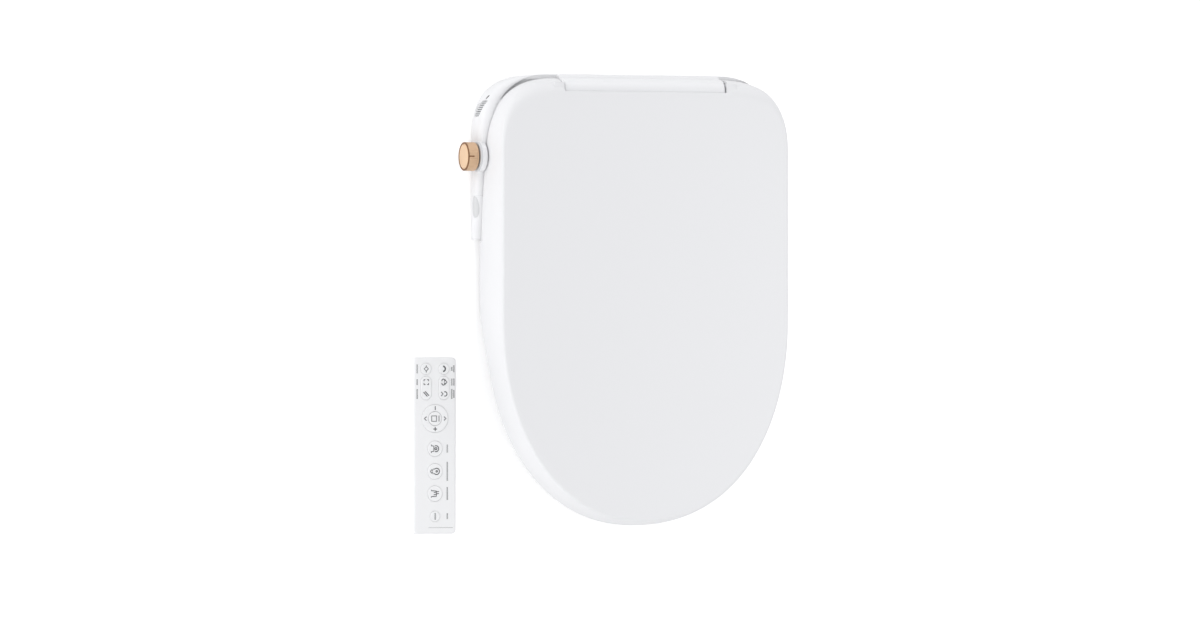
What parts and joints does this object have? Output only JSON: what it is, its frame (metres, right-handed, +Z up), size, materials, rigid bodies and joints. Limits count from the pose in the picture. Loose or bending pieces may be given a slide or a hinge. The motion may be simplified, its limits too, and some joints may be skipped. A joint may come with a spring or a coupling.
{
  "type": "electric bidet seat",
  "caption": "Slim heated toilet seat with a lid over a housing that holds two telescopic wash wands and a warm-air dryer, a knob on a side arm and a loose remote control.",
  "frame": {"origin": "midway between the two fixing bolts, on the surface of the bowl that the seat rests on", "axes": "+Z up, out of the bowl; -Y towards the front tip; +X to the right as the front is looked at from above with the rear edge at the top"},
  "size_m": [0.451, 0.528, 0.07],
  "materials": {
    "lid_white": "gloss",
    "seat_white": "gloss",
    "housing_white": "semi-gloss",
    "light_grey_plastic": "satin",
    "dark_plastic": "matte",
    "gold_knob": "satin metallic",
    "steel": "brushed",
    "rubber_grey": "matte",
    "wand_white": "gloss",
    "gear_plastic": "satin",
    "duct_plastic": "satin",
    "heater_film": "satin",
    "brass": "satin",
    "hose": "satin",
    "board": "satin",
    "remote_white": "satin",
    "battery": "satin"
  },
  "bodies": {
    "base": {"lower_case": "housing_white", "bolt_cups": "housing_white", "upper_cover": "housing_white", "hinge_barrel": "housing_white", "hinge_dampers": "dark_plastic", "hinge_pins": "steel", "arm_cover": "housing_white", "arm_grille": "light_grey_plastic", "receiver_window": "light_grey_plastic", "knob_collar": "light_grey_plastic", "rotary_encoder": "dark_plastic", "wand_cradle": "light_grey_plastic", "wand_motors": "steel", "fan_housing": "duct_plastic", "fan_motor": "steel", "dryer_duct": "duct_plastic", "dryer_heater": "heater_film", "water_inlet": "brass", "solenoid_valve": "dark_plastic", "water_pump": "dark_plastic", "water_heater": "duct_plastic", "hoses": "hose", "control_board": "board", "cable_gland": "dark_plastic"},
    "knob_stem": {"knob_shaft": "steel"},
    "knob": {"knob_body": "gold_knob", "knob_face": "gold_knob"},
    "ring": {"seat_top": "seat_white", "seat_bottom": "seat_white", "seat_heater": "heater_film", "seat_bumpers": "rubber_grey"},
    "lid": {"lid_shell": "lid_white", "lid_bumpers": "rubber_grey"},
    "left_wand": {"wand_left": "wand_white", "wand_tip_left": "wand_white"},
    "right_wand": {"wand_right": "wand_white", "wand_tip_right": "wand_white"},
    "left_pinion": {"pinion_left": "gear_plastic"},
    "right_pinion": {"pinion_right": "gear_plastic"},
    "fan": {"fan_impeller": "gear_plastic"},
    "air_flap": {"dryer_flap": "housing_white"},
    "air_filter": {"deodoriser_drawer": "housing_white"},
    "release": {"release_button": "light_grey_plastic"},
    "plate": {"fixing_plate": "steel", "fixing_pad": "rubber_grey"},
    "remote": {"remote_front": "remote_white", "remote_back": "remote_white", "remote_board": "board", "remote_batteries": "battery"},
    "battery_door": {"remote_door": "remote_white"},
    "key_dial": {"key_dial": "remote_white"},
    "key_centre": {"key_centre": "remote_white"},
    "key_one": {"key_one": "remote_white"},
    "key_two": {"key_two": "remote_white"},
    "key_three": {"key_three": "remote_white"},
    "key_lower": {"key_lower": "remote_white"},
    "key_small_left": {"key_small_left": "remote_white"},
    "key_small_right": {"key_small_right": "remote_white"},
    "key_rocker_left": {"key_rocker_left": "remote_white"},
    "key_rocker_right": {"key_rocker_right": "remote_white"}
  },
  "joints": [
    {"name": "ring_hinge", "type": "hinge", "parent": "base", "child": "ring", "pos_m": [0, 0.032, 0.053], "axis": [-1, 0, 0], "range_deg": [0, 100]},
    {"name": "lid_hinge", "type": "hinge", "parent": "ring", "child": "lid", "pos_m": [0, 0.032, 0.053], "axis": [1, 0, 0], "range_deg": [-105, 0]},
    {"name": "knob_press", "type": "slide", "parent": "base", "child": "knob_stem", "axis": [1, 0, 0], "range_m": [0, 0.0015], "stiffness_N_per_m": 400, "springref_m": -0.0005},
    {"name": "knob_turn", "type": "hinge", "parent": "knob_stem", "child": "knob", "pos_m": [-0.2, -0.045, 0.022], "axis": [-1, 0, 0], "continuous": true},
    {"name": "left_wand_slide", "type": "slide", "parent": "base", "child": "left_wand", "axis": [0, -0.9781, -0.2079], "range_m": [0, 0.074]},
    {"name": "right_wand_slide", "type": "slide", "parent": "base", "child": "right_wand", "axis": [0, -0.9781, -0.2079], "range_m": [0, 0.074]},
    {"name": "left_pinion_spin", "type": "hinge", "parent": "base", "child": "left_pinion", "pos_m": [-0.0255, -0.06502, 0.02249], "axis": [0, -0.2079, 0.9781], "range_deg": [-830, 830]},
    {"name": "right_pinion_spin", "type": "hinge", "parent": "base", "child": "right_pinion", "pos_m": [0.0255, -0.06502, 0.02249], "axis": [0, -0.2079, 0.9781], "range_deg": [-830, 830]},
    {"name": "fan_spin", "type": "hinge", "parent": "base", "child": "fan", "pos_m": [0.09, -0.049, 0.013], "axis": [0, 0, 1], "continuous": true},
    {"name": "flap_swing", "type": "hinge", "parent": "base", "child": "air_flap", "pos_m": [0.074, -0.0885, 0.0305], "axis": [-1, 0, 0], "range_deg": [0, 60]},
    {"name": "filter_slide", "type": "slide", "parent": "base", "child": "air_filter", "axis": [1, 0, 0], "range_m": [0, 0.055]},
    {"name": "release_press", "type": "slide", "parent": "base", "child": "release", "axis": [-1, 0, 0], "range_m": [0, 0.004], "stiffness_N_per_m": 300, "springref_m": -0.001},
    {"name": "plate_slide", "type": "slide", "parent": "base", "child": "plate", "axis": [0, 1, 0], "range_m": [0, 0.06]},
    {"name": "remote_lift", "type": "slide", "parent": "base", "child": "remote", "axis": [0, 0, 1], "range_m": [0, 0.15]},
    {"name": "battery_door_slide", "type": "slide", "parent": "remote", "child": "battery_door", "axis": [0, -1, 0], "range_m": [0, 0.02]},
    {"name": "key_dial_press", "type": "slide", "parent": "remote", "child": "key_dial", "axis": [0, 0, -1], "range_m": [0, 0.0008], "stiffness_N_per_m": 400, "springref_m": -0.0005},
    {"name": "key_centre_press", "type": "slide", "parent": "remote", "child": "key_centre", "axis": [0, 0, -1], "range_m": [0, 0.0008], "stiffness_N_per_m": 400, "springref_m": -0.0005},
    {"name": "key_one_press", "type": "slide", "parent": "remote", "child": "key_one", "axis": [0, 0, -1], "range_m": [0, 0.0008], "stiffness_N_per_m": 400, "springref_m": -0.0005},
    {"name": "key_two_press", "type": "slide", "parent": "remote", "child": "key_two", "axis": [0, 0, -1], "range_m": [0, 0.0008], "stiffness_N_per_m": 400, "springref_m": -0.0005},
    {"name": "key_three_press", "type": "slide", "parent": "remote", "child": "key_three", "axis": [0, 0, -1], "range_m": [0, 0.0008], "stiffness_N_per_m": 400, "springref_m": -0.0005},
    {"name": "key_lower_press", "type": "slide", "parent": "remote", "child": "key_lower", "axis": [0, 0, -1], "range_m": [0, 0.0008], "stiffness_N_per_m": 400, "springref_m": -0.0005},
    {"name": "key_small_left_press", "type": "slide", "parent": "remote", "child": "key_small_left", "axis": [0, 0, -1], "range_m": [0, 0.0008], "stiffness_N_per_m": 400, "springref_m": -0.0005},
    {"name": "key_small_right_press", "type": "slide", "parent": "remote", "child": "key_small_right", "axis": [0, 0, -1], "range_m": [0, 0.0008], "stiffness_N_per_m": 400, "springref_m": -0.0005},
    {"name": "key_rocker_left_press", "type": "slide", "parent": "remote", "child": "key_rocker_left", "axis": [0, 0, -1], "range_m": [0, 0.0008], "stiffness_N_per_m": 400, "springref_m": -0.0005},
    {"name": "key_rocker_right_press", "type": "slide", "parent": "remote", "child": "key_rocker_right", "axis": [0, 0, -1], "range_m": [0, 0.0008], "stiffness_N_per_m": 400, "springref_m": -0.0005}
  ],
  "couplings": [
    {"joint": "left_pinion_spin", "follows": "left_wand_slide", "rad_per_m": -166.67},
    {"joint": "right_pinion_spin", "follows": "right_wand_slide", "rad_per_m": 166.67}
  ]
}
